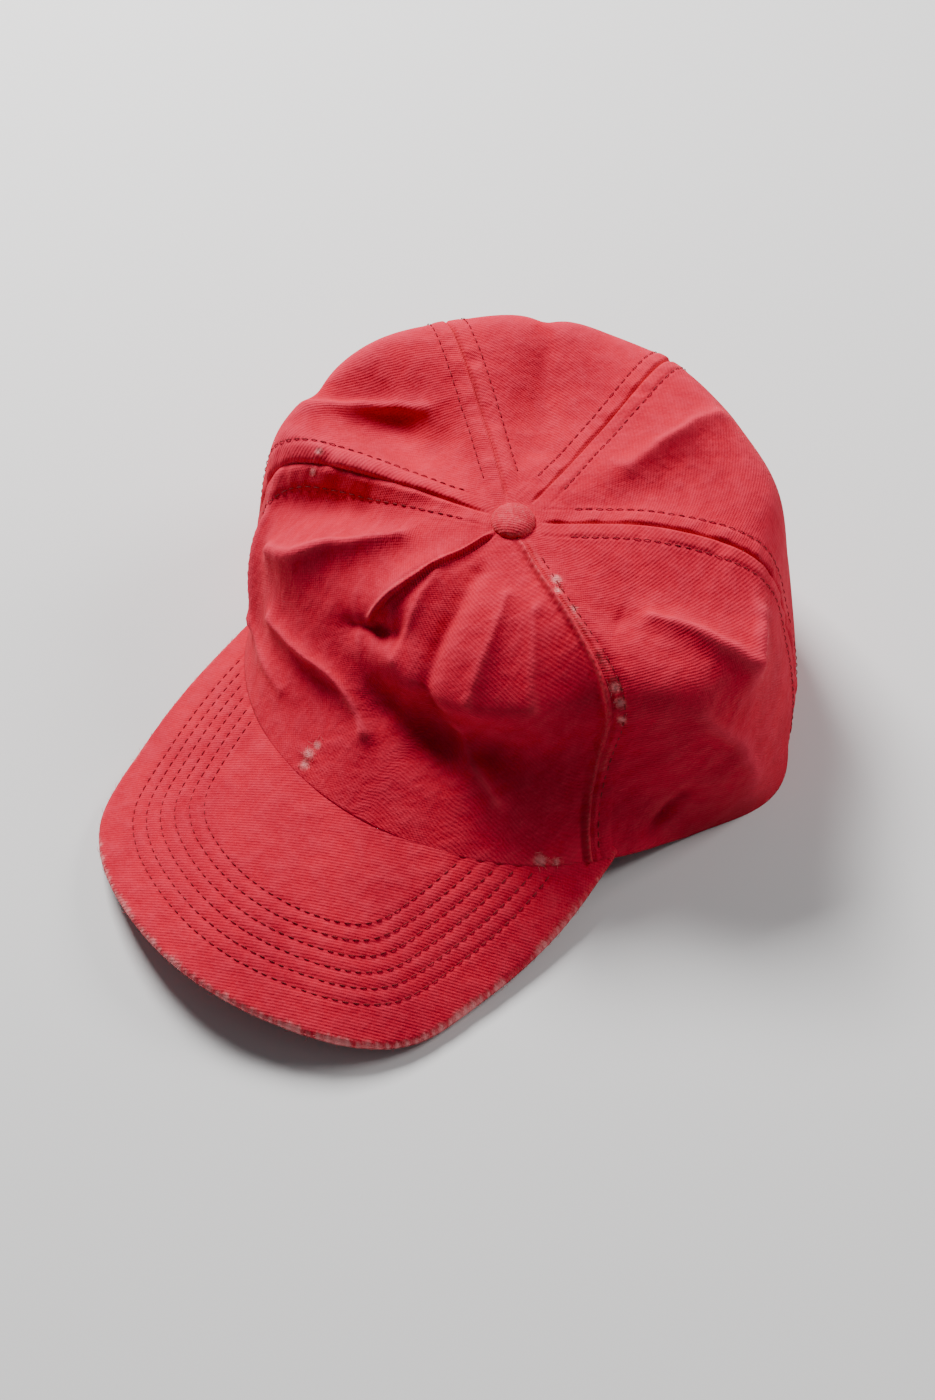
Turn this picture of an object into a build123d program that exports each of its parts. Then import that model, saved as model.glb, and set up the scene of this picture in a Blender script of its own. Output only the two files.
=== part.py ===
"""Soft baseball cap of cotton twill: five sewn panels, a curved brim, a sweatband and a strap with a cam buckle.

Frame, in millimetres: +Z up, the brim points to -Y, +X is the wearer's left. The origin is on the surface
that the cap stands on, at the middle of the whole cap's box. The crown's own axis is CROWN_Y behind it.
"""

from build123d import *
from math import asin, atan2, cos, degrees, radians, sin, sqrt
import os

# --- Crown ---------------------------------------------------------------------------------------------
CROWN_Y = 35.8              # crown axis, behind the origin
CROWN_TOP = 79.5            # cloth under the top button
TOP_RADIUS = 400.0          # the slack top is nearly flat
SHOULDER_RADIUS = 30.0
WALL_RADIUS = 600.0         # the side wall is nearly straight
SHOULDER_REACH = 60.0       # shoulder arc's centre from the crown axis
SHOULDER_END = 87.0         # degrees from the vertical, where the shoulder runs into the wall
LENGTH_STRETCH = 1.045      # head shape: longer front to back than across
CLOTH = 0.9                 # washed cotton twill
WALL_FOOT = -4.0            # the wall is drawn this low, then cut off at the rim
SEAMS = (60, 120, 180, 240, 300)    # degrees round from the front, each a seam between two panels
DART_START, DART_END = 9.0, 66.0    # stitched dart in the front panel, from the crown axis
SHANK_HOLE = 1.7            # radius of the hole for the button's rivet

# --- Seam tapes and brim stitching -----------------------------------------------------------------------
TAPE_HALF, TAPE_THICK = 8.0, 0.5
STITCH_HALF, STITCH_HIGH = 0.25, 0.35
STITCH_LIFT = 0.02          # a thread row only just clears the cloth it lies on

# --- Brim ----------------------------------------------------------------------------------------------
BRIM_RADIUS = 150.0         # bend across the brim
BRIM_ROOT = 27.7            # height of its upper face at the middle of the crown seam
BRIM_SLOPE = 0.15           # fall towards the tip
BRIM_TIP = 166.0            # tip from the crown axis
BRIM_CORNER = (46.5, 154.5)         # where the front curve meets the rounded corner
BRIM_TURN = (66.6, 137.6)           # middle of the rounded corner
BRIM_SIDE = (75.5, 110.0)           # where the corner meets the side
BRIM_WAIST = (80.2, 78.0)           # middle of the slightly bowed side
BRIM_HEEL = (79.3, 44.0)            # end of the side, inside the crown seam
BRIM_TUCK = 3.0             # the brim reaches this far in under the crown cloth
BOARD = 1.8
BOARD_INSET = 3.0           # seam allowance round the board
BRIM_ROWS = 6
FIRST_ROW, ROW_STEP = 12.0, 4.6

# --- Rim, sweatband and arch ---------------------------------------------------------------------------
BRIM_END_Y = -52.0          # the raised front of the rim ends here, from the crown axis
RIM_FLAT_Y = 6.0            # the rim is flat from here back
BAND_INSET, BAND_THICK, BAND_HIGH = 5.4, 1.3, 31.0
RIM_TAPE_HIGH = 2.5
ARCH_HALF, ARCH_STRAIGHT, ARCH_TOP = 42.0, 10.0, 48.0
BINDING = 8.0
LABEL_INSET, LABEL_THICK, LABEL_WIDE = 0.15, 0.4, 30.0

# --- Closure at the back -------------------------------------------------------------------------------
STRAP_CENTRE = 6.0          # behind the crown axis: the circle that the gap behind the sweatband follows
STRAP_INNER, STRAP_THICK = 83.75, 1.4
STRAP_LOW, STRAP_HIGH = 5.0, 25.0
STRAP_ENDS = (-46.0, 40.0)                  # degrees round from the back
TAB_INNER, TAB_THICK, TAB_END = 85.55, 1.1, 40.0
BUCKLE_AT = 14.0                            # degrees round from the back
BUCKLE_LONG = 18.0
SHEET = 1.0                                 # brass sheet
PIN_R, PIN_CLEARANCE = 0.8, 0.05
PIN_AT = (-6.6, 3.0)        # along the strap and outwards, in the buckle's own frame
BAR_AT, BAR_R = (8.0, 2.2), 0.8

# --- Top button ----------------------------------------------------------------------------------------
BUTTON_R, BUTTON_HIGH, BUTTON_CLOTH, BUTTON_METAL = 7.0, 4.2, 0.7, 0.5


def crown_centres():
    """Centres of the top, shoulder and wall arcs, and the angle of the first joint, from the vertical."""
    joint = asin(SHOULDER_REACH / (TOP_RADIUS - SHOULDER_RADIUS))
    top = (0.0, CROWN_TOP - TOP_RADIUS)
    shoulder = (SHOULDER_REACH, top[1] + (TOP_RADIUS - SHOULDER_RADIUS) * cos(joint))
    end = radians(SHOULDER_END)
    back_off = WALL_RADIUS - SHOULDER_RADIUS
    wall = (shoulder[0] - back_off * sin(end), shoulder[1] - back_off * cos(end))
    return top, shoulder, wall, joint


def on_arc(centre, radius, angle):
    return (centre[0] + radius * sin(angle), centre[1] + radius * cos(angle))


def wall_reach(inset, height=0.0):
    """Half width of the crown's wall at a height."""
    wall = crown_centres()[2]
    return wall[0] + sqrt((WALL_RADIUS - inset) ** 2 - (height - wall[1]) ** 2)


def dome(inset):
    """Solid under the crown's outer surface moved in by inset."""
    top, shoulder, wall, joint = crown_centres()
    end = radians(SHOULDER_END)
    r_top, r_shoulder, r_wall = TOP_RADIUS - inset, SHOULDER_RADIUS - inset, WALL_RADIUS - inset
    foot = (wall_reach(inset, WALL_FOOT), WALL_FOOT)
    foot_angle = atan2(foot[0] - wall[0], WALL_FOOT - wall[1])
    crest = (0, top[1] + r_top)
    first, second = on_arc(top, r_top, joint), on_arc(shoulder, r_shoulder, end)
    with BuildSketch(Plane.XZ) as section:
        with BuildLine():
            Line((0, WALL_FOOT), crest)
            ThreePointArc(crest, on_arc(top, r_top, joint / 2), first)
            ThreePointArc(first, on_arc(shoulder, r_shoulder, (joint + end) / 2), second)
            ThreePointArc(second, on_arc(wall, r_wall, (end + foot_angle) / 2), foot)
            Line(foot, (0, WALL_FOOT))
        make_face()
    return scale(revolve(section.sketch, Axis.Z), by=(1, LENGTH_STRETCH, 1))


def shell(outer, inner):
    """Layer of the crown between two insets."""
    return dome(outer) - dome(inner)


def around(angle, reach, z=0.0):
    """Point at this angle round the crown axis from the front."""
    return Vector(reach * sin(radians(angle)), -reach * cos(radians(angle)), z)


def sector(start, end):
    """Tall wedge from one angle to the other."""
    steps = [start + (end - start) * i / 4 for i in range(5)]
    outline = Polyline([(0, 0)] + [tuple(around(a, 200))[:2] for a in steps] + [(0, 0)])
    return extrude(make_face(outline), 120)


def seam_slab(angle, half):
    """Upright slab along a seam, from the crown axis outwards."""
    return Rot(0, 0, angle) * (Pos(0, -65, 50) * Box(2 * half, 130, 140))


def ellipse_prism(inset):
    """Upright prism with the plan of the crown's rim moved in by inset."""
    plan = Ellipse(wall_reach(inset), wall_reach(inset) * LENGTH_STRETCH)
    return Pos(0, 0, -60) * extrude(plan, 220)


# --- Surfaces that shape the rim and the brim ------------------------------------------------------------
def brim_height(y):
    """Height of the brim's upper face on its middle line."""
    root = wall_reach(0) * LENGTH_STRETCH
    return BRIM_ROOT + BRIM_SLOPE * (y + root)


def under_arc(y, middle, radius=BRIM_RADIUS, half=105.0, base=-60.0):
    """Section across the cap at y: everything below an arc of the brim's bend."""
    drop = radius - sqrt(radius**2 - half**2)
    with BuildSketch(Plane((0, y, 0), x_dir=(1, 0, 0), z_dir=(0, -1, 0))) as section:
        with BuildLine():
            Polyline((half, middle - drop), (half, base), (-half, base), (-half, middle - drop))
            ThreePointArc((-half, middle - drop), (0, middle), (half, middle - drop))
        make_face()
    return section.sketch.faces()[0]


def under_brim(depth=0.0):
    """Everything below the brim's upper face moved in by depth, in front of the brim's ends."""
    front = -200.0
    radius = BRIM_RADIUS - depth
    near = under_arc(BRIM_END_Y, brim_height(BRIM_END_Y) - depth, radius)
    far = under_arc(front, brim_height(front) - depth, radius)
    return loft([near, far], ruled=True)


def under_rim_side():
    """Everything below the rim where it comes down behind the brim's ends."""
    flat = BRIM_RADIUS - sqrt(BRIM_RADIUS**2 - wall_reach(0) ** 2)
    start = brim_height(BRIM_END_Y)
    stations = ((BRIM_END_Y, 0.0), (-38.0, 0.26), (-18.0, 0.78), (RIM_FLAT_Y, 1.0))
    return loft([under_arc(y, start + (flat - start) * share) for y, share in stations])


def below_rim(lift=0.0):
    """Everything below the cap's lower edge, moved up by lift."""
    ground = Pos(0, 0, -30) * Box(300, 400, 60)
    return Pos(0, 0, lift) * (under_brim() + under_rim_side() + ground)


def arch(grow=0.0):
    """Opening in the back, as a prism along Y."""
    half, high = ARCH_HALF + grow, ARCH_TOP + grow - ARCH_STRAIGHT
    with BuildSketch(Plane((0, 130, 0), x_dir=(1, 0, 0), z_dir=(0, -1, 0))) as opening:
        with Locations((0, ARCH_STRAIGHT)):
            Ellipse(half, high)
        with Locations((0, (ARCH_STRAIGHT - 20) / 2)):
            Rectangle(2 * half, ARCH_STRAIGHT + 20)
        with Locations((0, -60 - 10)):
            Rectangle(300, 120, mode=Mode.SUBTRACT)
    return extrude(opening.sketch, 90)


# --- Crown -----------------------------------------------------------------------------------------------
def shank_hole():
    return Pos(0, 0, 60) * Cylinder(SHANK_HOLE, 100)


def crown_panels(rim):
    """The front panel with its dart, two side panels and two back panels."""
    cloth = shell(0, CLOTH) - rim - arch() - shank_hole()
    names = {
        "front_panel": (-60, 60),
        "left_side_panel": (60, 120),
        "left_back_panel": (120, 180),
        "right_back_panel": (180, 240),
        "right_side_panel": (240, 300),
    }
    panels = {name: cloth & sector(*angles) for name, angles in names.items()}
    dart_middle = (DART_START + DART_END) / 2
    dart_line = Pos(0, -dart_middle, 70) * Box(0.5, DART_END - DART_START, 60)
    panels["front_panel"] -= dart_line & shell(-1, CLOTH / 2)
    return panels


def seam_tapes(rim_above):
    """A tape inside each seam. Each keeps to its own side of its neighbours where they crowd at the top."""
    layer = shell(CLOTH, CLOTH + TAPE_THICK) - rim_above - arch(BINDING) - shank_hole()
    names = ("front_left", "side_left", "back", "side_right", "front_right")
    tapes = {}
    for name, angle in zip(names, SEAMS):
        own_side = sector(angle - 30, angle + 30)
        tapes["seam_tape_" + name] = layer & seam_slab(angle, TAPE_HALF) & own_side
    return tapes


# --- Top button ------------------------------------------------------------------------------------------
def lens(radius, high):
    """Solid domed disc with a rounded edge that stands on z = 0."""
    edge = high * 0.3
    flat = radius - edge
    rise = high - 2 * edge
    ball = (flat**2 + rise**2) / (2 * rise)
    half_turn = asin(flat / ball) / 2
    with BuildSketch(Plane.XZ) as half:
        with BuildLine():
            Line((0, 0), (flat, 0))
            ThreePointArc((flat, 0), (radius, edge), (flat, 2 * edge))
            ThreePointArc((flat, 2 * edge), on_arc((0, high - ball), ball, half_turn), (0, high))
            Line((0, high), (0, 0))
        make_face()
    return revolve(half.sketch, Axis.Z)


def top_button():
    """Cloth cover, metal dome, rivet through the crown and the washer that it is clinched over."""
    seat = CROWN_TOP + 0.05
    inside = Pos(0, 0, BUTTON_CLOTH) * lens(BUTTON_R - BUTTON_CLOTH, BUTTON_HIGH - 2 * BUTTON_CLOTH)
    mouth = Cylinder(BUTTON_R - 2.6, 2 * BUTTON_CLOTH + 0.4)
    cover = lens(BUTTON_R, BUTTON_HIGH) - inside - mouth
    core_r = BUTTON_R - BUTTON_CLOTH - BUTTON_METAL
    core_high = BUTTON_HIGH - 2 * BUTTON_CLOTH - BUTTON_METAL
    hollow = Pos(0, 0, BUTTON_CLOTH - 0.01) * lens(core_r, core_high)
    metal = inside - hollow
    washer_top = CROWN_TOP - CLOTH - TAPE_THICK - 0.15
    shank_low = washer_top - seat - 1.6
    shank = Pos(0, 0, (shank_low + 2.0) / 2) * Cylinder(1.5, 2.0 - shank_low)
    head = Pos(0, 0, 1.6) * Cylinder(4.0, 0.8)
    clinch = Pos(0, 0, shank_low - 0.25) * Cylinder(2.6, 0.5)
    washer = Cylinder(7.5, 1.2) - Cylinder(1.55, 3) - Pos(0, 0, -0.9) * Cylinder(5.5, 0.9)
    washer_at = washer_top - 0.6
    rivet = shank + head + clinch
    return {
        "button_cover": Pos(0, 0, seat) * cover,
        "button_shell": Pos(0, 0, seat) * (metal - Cylinder(1.6, 20)),
        "button_rivet": Pos(0, 0, seat) * rivet,
        "button_washer": Pos(0, 0, washer_at) * washer,
    }


# --- Brim ------------------------------------------------------------------------------------------------
def brim_outline(inset=0.0):
    """Plan of the brim from above, its edge moved in by inset, with the crown's plan still filled."""
    left = [(-x, -y) for x, y in (BRIM_HEEL, BRIM_WAIST, BRIM_SIDE, BRIM_TURN, BRIM_CORNER)]
    right = [(-x, y) for x, y in reversed(left)]
    ring = left + [(0, -BRIM_TIP)] + right
    with BuildSketch() as plan:
        with BuildLine():
            for i in range(0, len(ring) - 1, 2):
                ThreePointArc(*ring[i : i + 3])
            Line(right[-1], left[0])
        make_face()
    outline = plan.sketch if inset == 0 else offset(plan.sketch, -inset, kind=Kind.ARC)
    return Pos(0, 0, -60) * extrude(outline, 160)


def brim_layer(top, bottom):
    """Bent sheet between two depths below the brim's upper face."""
    return under_brim(top) - under_brim(bottom)


def brim():
    """Upper and lower cloth, each with a turned-in lip, round a stiff board."""
    tucked = ellipse_prism(BRIM_TUCK)
    outline, inside = brim_outline(), brim_outline(BOARD_INSET)
    lip = outline - inside
    low = CLOTH + BOARD
    top = brim_layer(0, CLOTH) & outline
    top_lip = brim_layer(CLOTH, CLOTH + BOARD / 2) & lip
    under = brim_layer(low, low + CLOTH) & outline
    under_lip = brim_layer(CLOTH + BOARD / 2, low) & lip
    board = brim_layer(CLOTH, low) & brim_outline(BOARD_INSET + 0.05)
    rows = []
    crown_side = ellipse_prism(-1.0)
    for i in range(BRIM_ROWS):
        row_at = FIRST_ROW + ROW_STEP * i
        row = brim_outline(row_at - STITCH_HALF) - brim_outline(row_at + STITCH_HALF)
        heel = Pos(0, -BRIM_HEEL[1] - row_at, 0) * Box(300, 6, 300)
        rows += ((brim_layer(-STITCH_HIGH, -STITCH_LIFT) & row) - heel - crown_side).solids()
    return {
        "brim_top_cover": (top + top_lip) - tucked,
        "brim_under_cover": (under + under_lip) - tucked,
        "brim_board": board - ellipse_prism(BRIM_TUCK - 0.1),
        "brim_topstitching": Compound(children=[r for r in rows if r.volume > 1.0]),
    }


# --- Sweatband, rim tape, binding and label --------------------------------------------------------------
def bands(rim, rim_above):
    inner = BAND_INSET + BAND_THICK
    under_top = below_rim(BAND_HIGH)
    label_in = inner + LABEL_INSET
    label_place = Pos(-90, 6, 16) * Box(60, LABEL_WIDE, 22)
    band = (shell(BAND_INSET, inner) & under_top) - rim - arch(1.0)
    return {
        "sweatband": band,
        "rim_tape": (shell(CLOTH, BAND_INSET - 0.05) & below_rim(RIM_TAPE_HIGH)) - rim - arch(BINDING),
        "arch_binding": (shell(CLOTH, CLOTH + TAPE_THICK) & arch(BINDING)) - arch() - below_rim(),
        "care_label": shell(label_in, label_in + LABEL_THICK) & label_place,
    }


# --- Closure ---------------------------------------------------------------------------------------------
def arc_band(inner, thick, start, end, low, high):
    """Upright band on an arc round the strap's centre. Angles run from the back towards +X."""
    outer = inner + thick
    middle = (start + end) / 2

    def at(radius, angle):
        return (radius * sin(radians(angle)), radius * cos(radians(angle)))

    with BuildSketch(Plane((0, STRAP_CENTRE, low))) as plan:
        with BuildLine():
            ThreePointArc(at(outer, start), at(outer, middle), at(outer, end))
            Line(at(outer, end), at(inner, end))
            ThreePointArc(at(inner, end), at(inner, middle), at(inner, start))
            Line(at(inner, start), at(outer, start))
        make_face()
    return extrude(plan.sketch, high - low)


def at_buckle(shape):
    """Moves a shape from the buckle's own frame: X along the strap, Y outwards from the strap's middle, Z up."""
    reach = STRAP_INNER + STRAP_THICK / 2
    return Pos(0, STRAP_CENTRE, 0) * (Rot(0, 0, -BUCKLE_AT) * (Pos(0, reach, 0) * shape))


def slab(x0, x1, y0, y1, z0, z1):
    return Pos((x0 + x1) / 2, (y0 + y1) / 2, (z0 + z1) / 2) * Box(x1 - x0, y1 - y0, z1 - z0)


def upright(place, radius, low, high):
    """Cylinder along the buckle's height, at a place in the buckle's own frame."""
    return Pos(place[0], place[1], (low + high) / 2) * Cylinder(radius, high - low)


def buckle_frame():
    """Channel round the strap: an inner plate, a flange above and below, and a bar for the tab."""
    half, flange = BUCKLE_LONG / 2, 1.5
    low, high = STRAP_LOW - 2.0, STRAP_HIGH + 2.0
    inner, outer = -2.8, 4.4
    frame = slab(-half, half, inner, inner + SHEET, low, high)
    frame += slab(-half, half, inner, outer, low, low + flange)
    frame += slab(-half, half, inner, outer, high - flange, high)
    frame += upright(BAR_AT, BAR_R, low, high)
    return frame - upright(PIN_AT, PIN_R + PIN_CLEARANCE, low - 1, high + 1)


def buckle_lever():
    """Barrel on the pin, a nose that bites the strap, and a plate with a lifted lip to pull."""
    x, y = PIN_AT
    low, high = STRAP_LOW + 0.1, STRAP_HIGH - 0.1
    lever = upright(PIN_AT, 1.8, low, high)
    lever += slab(x - 0.5, x + 0.5, y - 2.0, y, low + 1, high - 1)
    lever += slab(x, 5.6, y + 0.6, y + 1.8, low, high)
    lever += slab(4.6, 5.6, y + 0.6, y + 2.8, low + 3, high - 3)
    return lever - upright(PIN_AT, PIN_R + PIN_CLEARANCE, low - 1, high + 1)


def closure():
    """Strap, and the tab that holds the buckle: a brass channel with a cam lever on a pin."""
    low, high = STRAP_LOW + 0.1, STRAP_HIGH - 0.1
    loop = upright(BAR_AT, 1.55, low, high)
    tab_start = BUCKLE_AT + degrees(BAR_AT[0] / (STRAP_INNER + STRAP_THICK / 2)) + 0.6
    tab = arc_band(TAB_INNER, TAB_THICK, tab_start, TAB_END, low, high) + at_buckle(loop)
    tab -= at_buckle(upright(BAR_AT, BAR_R + 0.05, low - 1, high + 1))
    return {
        "adjusting_strap": arc_band(STRAP_INNER, STRAP_THICK, *STRAP_ENDS, STRAP_LOW, STRAP_HIGH),
        "buckle_tab": tab,
        "buckle_frame": at_buckle(buckle_frame()),
        "buckle_lever": at_buckle(buckle_lever()),
        "buckle_pin": at_buckle(upright(PIN_AT, PIN_R, STRAP_LOW - 2.0, STRAP_HIGH + 2.0)),
    }


def main():
    os.makedirs("parts", exist_ok=True)
    rim, rim_above = below_rim(), below_rim(RIM_TAPE_HIGH + 0.2)
    parts = crown_panels(rim)
    parts.update(seam_tapes(rim_above))
    parts.update(top_button())
    parts.update(brim())
    parts.update(bands(rim, rim_above))
    parts.update(closure())
    low, high = Vector(1e9, 1e9, 1e9), Vector(-1e9, -1e9, -1e9)
    for name, shape in parts.items():
        placed = Pos(0, CROWN_Y, 0) * shape
        export_step(placed, f"parts/{name}.step")
        box = placed.bounding_box()
        low = Vector(*(min(a, b) for a, b in zip(low, box.min)))
        high = Vector(*(max(a, b) for a, b in zip(high, box.max)))
    print("box", tuple(round(v, 2) for v in low), tuple(round(v, 2) for v in high))
    pin = Pos(0, CROWN_Y, 0) * at_buckle(Pos(*PIN_AT, 15) * Box(1, 1, 1))
    print("strap axis y", round(CROWN_Y + STRAP_CENTRE, 3), "lever pin", pin.center())


main()
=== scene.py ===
"""Looks of a soft baseball cap in washed red cotton twill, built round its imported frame.

The shape functions work in millimetres from the crown's axis, with +Z up and the brim towards -Y.
Everything that reaches Blender is in metres, in the frame of the model.
"""

import math

import bpy
import numpy as np
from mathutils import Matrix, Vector


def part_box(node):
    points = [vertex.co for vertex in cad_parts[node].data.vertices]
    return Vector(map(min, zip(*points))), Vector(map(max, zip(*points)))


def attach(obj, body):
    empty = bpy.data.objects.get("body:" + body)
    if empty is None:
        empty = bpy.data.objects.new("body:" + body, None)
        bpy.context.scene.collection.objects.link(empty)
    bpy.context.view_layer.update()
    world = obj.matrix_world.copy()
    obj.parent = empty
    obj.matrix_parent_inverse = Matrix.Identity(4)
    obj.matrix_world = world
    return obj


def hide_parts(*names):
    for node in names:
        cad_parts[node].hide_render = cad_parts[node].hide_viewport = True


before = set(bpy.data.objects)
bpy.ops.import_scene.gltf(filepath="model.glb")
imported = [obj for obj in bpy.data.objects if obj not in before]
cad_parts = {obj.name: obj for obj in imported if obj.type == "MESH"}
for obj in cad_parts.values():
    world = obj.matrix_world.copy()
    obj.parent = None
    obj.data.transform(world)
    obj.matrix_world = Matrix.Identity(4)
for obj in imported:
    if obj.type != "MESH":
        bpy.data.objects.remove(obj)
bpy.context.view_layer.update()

MM = 0.001
button_low, button_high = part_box("button_cover")
CROWN_Y = (button_low.y + button_high.y) / 2 / MM
BUTTON_SEAT = button_low.z / MM
HALF_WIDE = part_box("left_side_panel")[1].x / MM
LENGTH_STRETCH = 1.045
HALF_LONG = HALF_WIDE * LENGTH_STRETCH
CLOTH = 0.9
RNG = np.random.default_rng(7)


# --- Small tools -----------------------------------------------------------------------------------------
def smooth(t):
    t = np.clip(t, 0.0, 1.0)
    return t * t * (3 - 2 * t)


def near(distance, width):
    """1 on a line and fading to nothing over a few widths."""
    return np.exp(-((distance / width) ** 2))


def unit(v):
    return v / np.maximum(np.linalg.norm(v, axis=-1, keepdims=True), 1e-9)


def blend_through(keys, values, at):
    """Smooth curve through values at increasing keys, read at many places."""
    keys, values, at = np.asarray(keys, float), np.asarray(values, float), np.asarray(at, float)
    step = np.diff(keys)
    slope = np.diff(values, axis=0) / step.reshape(-1, *[1] * (values.ndim - 1))
    tangent = np.concatenate([slope[:1], (slope[1:] + slope[:-1]) / 2, slope[-1:]])
    i = np.clip(np.searchsorted(keys, at) - 1, 0, len(step) - 1)
    grow = [1] * (values.ndim - 1)
    t = np.clip((at - keys[i]) / step[i], 0, 1).reshape(-1, *grow)
    h = step[i].reshape(-1, *grow)
    return (
        values[i] * (1 + 2 * t) * (1 - t) ** 2
        + tangent[i] * h * t * (1 - t) ** 2
        + values[i + 1] * t**2 * (3 - 2 * t)
        + tangent[i + 1] * h * t**2 * (t - 1)
    )


def length_along(line):
    """Length of a line from its start to each of its points."""
    return np.concatenate([[0], np.cumsum(np.linalg.norm(np.diff(line, axis=0), axis=1))])


def at_lengths(at, run, line):
    """Places on a line at given lengths along it."""
    return np.stack([np.interp(at, run, line[:, k]) for k in range(line.shape[1])], -1)


def line_distance(points, line):
    """Distance from each point to a broken line, and how far along the line its nearest place is, 0 to 1."""
    line = np.asarray(line, float)
    best = np.full(points.shape[:-1], 1e9)
    place = np.zeros(points.shape[:-1])
    lengths = np.linalg.norm(np.diff(line, axis=0), axis=1)
    run = np.concatenate([[0], np.cumsum(lengths)])
    for a, b, start, length in zip(line, line[1:], run, lengths):
        t = np.clip(((points - a) @ (b - a)) / length**2, 0, 1)
        d = np.linalg.norm(points - (a + t[..., None] * (b - a)), axis=-1)
        closer = d < best
        best = np.where(closer, d, best)
        place = np.where(closer, (start + t * length) / run[-1], place)
    return best, place


def rounded_line(line, reach):
    """A line with its corners eased over a reach, keeping its ends."""
    step = 0.6
    run = length_along(line)
    even = at_lengths(np.arange(0, run[-1], step), run, line)
    half = int(reach * 2 / step)
    weight = np.exp(-((np.arange(-half, half + 1) * step / reach) ** 2))
    padded = np.concatenate([np.repeat(even[:1], half, 0), even, np.repeat(even[-1:], half, 0)])
    eased = [np.convolve(padded[:, k], weight / weight.sum(), mode="valid") for k in range(line.shape[1])]
    return np.stack(eased, -1)


# --- Rim and brim surfaces -------------------------------------------------------------------------------
BRIM_BEND = 150.0
BRIM_ROOT = 27.7
BRIM_SLOPE = 0.15
BRIM_END_Y = -52.0
RIM_FLAT_Y = 6.0


def brim_height(x, y):
    """Height of the brim's upper face."""
    drop = BRIM_BEND - np.sqrt(BRIM_BEND**2 - x**2)
    return BRIM_ROOT + BRIM_SLOPE * (y + HALF_LONG) - drop


def rim_height(x, y):
    """Height of the crown's lower edge: along the brim in front, then down to the ground behind its ends."""
    flat = BRIM_BEND - math.sqrt(BRIM_BEND**2 - HALF_WIDE**2)
    start = BRIM_ROOT + BRIM_SLOPE * (BRIM_END_Y + HALF_LONG)
    t = np.clip((y - BRIM_END_Y) / (RIM_FLAT_Y - BRIM_END_Y), 0, 1)
    share = t + t * t * (1 - t)
    reach = np.clip(np.abs(x), 0, HALF_WIDE)
    behind = start + (flat - start) * share - (BRIM_BEND - np.sqrt(BRIM_BEND**2 - reach**2))
    behind = np.where(y > RIM_FLAT_Y, 0, np.maximum(behind, 0))
    return np.where(y < BRIM_END_Y, brim_height(np.clip(x, -95, 95), y), behind)


RIM_SWELLS = ((98, 14, 13.0), (122, 20, 6.0), (-100, 30, 1.5))


def rim_reach(azimuth):
    """How far out the rim stands, before the lengthways stretch."""
    reach = np.full(np.shape(azimuth), HALF_WIDE)
    for middle, width, swell in RIM_SWELLS:
        turn = (azimuth - middle + 180) % 360 - 180
        reach = reach + swell * near(turn, width)
    return reach


def place(azimuth, reach):
    a = np.radians(azimuth)
    return reach * np.sin(a), -LENGTH_STRETCH * reach * np.cos(a)


# --- Crown: how it slumps --------------------------------------------------------------------------------
# Each station is an azimuth from the front towards the wearer's left, then reach and height of the cloth at
# four hoops: on the top, at the shoulder, at the waist of the wall, and at the skirt above the rim.
STATIONS = (
    (-150, (42, 79), (84, 88), (95, 46), (93, 14)),
    (-127, (45, 81), (87, 85), (96, 48), (93, 15)),
    (-110, (55, 75), (91, 83), (97, 48), (93, 15)),
    (-96, (64, 73), (91, 79), (97, 48), (92, 15)),
    (-80, (50, 79), (89, 73), (96, 50), (91, 17)),
    (-68, (48, 73), (80, 63), (90, 44), (91, 20)),
    (-52, (48, 71), (73, 62), (82, 44), (87, 25)),
    (-38, (42, 72), (63, 61), (75, 44), (83, 33)),
    (-20, (34, 76), (56, 64), (65, 46), (77, 36)),
    (0, (34, 76), (56, 62), (63, 45), (77, 36)),
    (20, (36, 77), (58, 62), (62, 44), (78, 33)),
    (42, (38, 76), (59, 62), (65, 41), (79, 27)),
    (62, (42, 77), (62, 62), (70, 41), (79, 24)),
    (78, (45, 76), (77, 68), (86, 40), (90, 16)),
    (92, (52, 75), (86, 67), (96, 38), (102, 12)),
    (106, (50, 79), (84, 69), (95, 42), (101, 14)),
    (122, (50, 82), (80, 74), (92, 46), (98, 20)),
    (140, (48, 81), (84, 78), (94, 46), (96, 14)),
    (158, (46, 84), (81, 82), (93, 46), (93, 14)),
    (178, (45, 82), (83, 84), (92, 46), (92, 14)),
    (195, (45, 80), (84, 84), (93, 46), (92, 14)),
)

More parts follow.
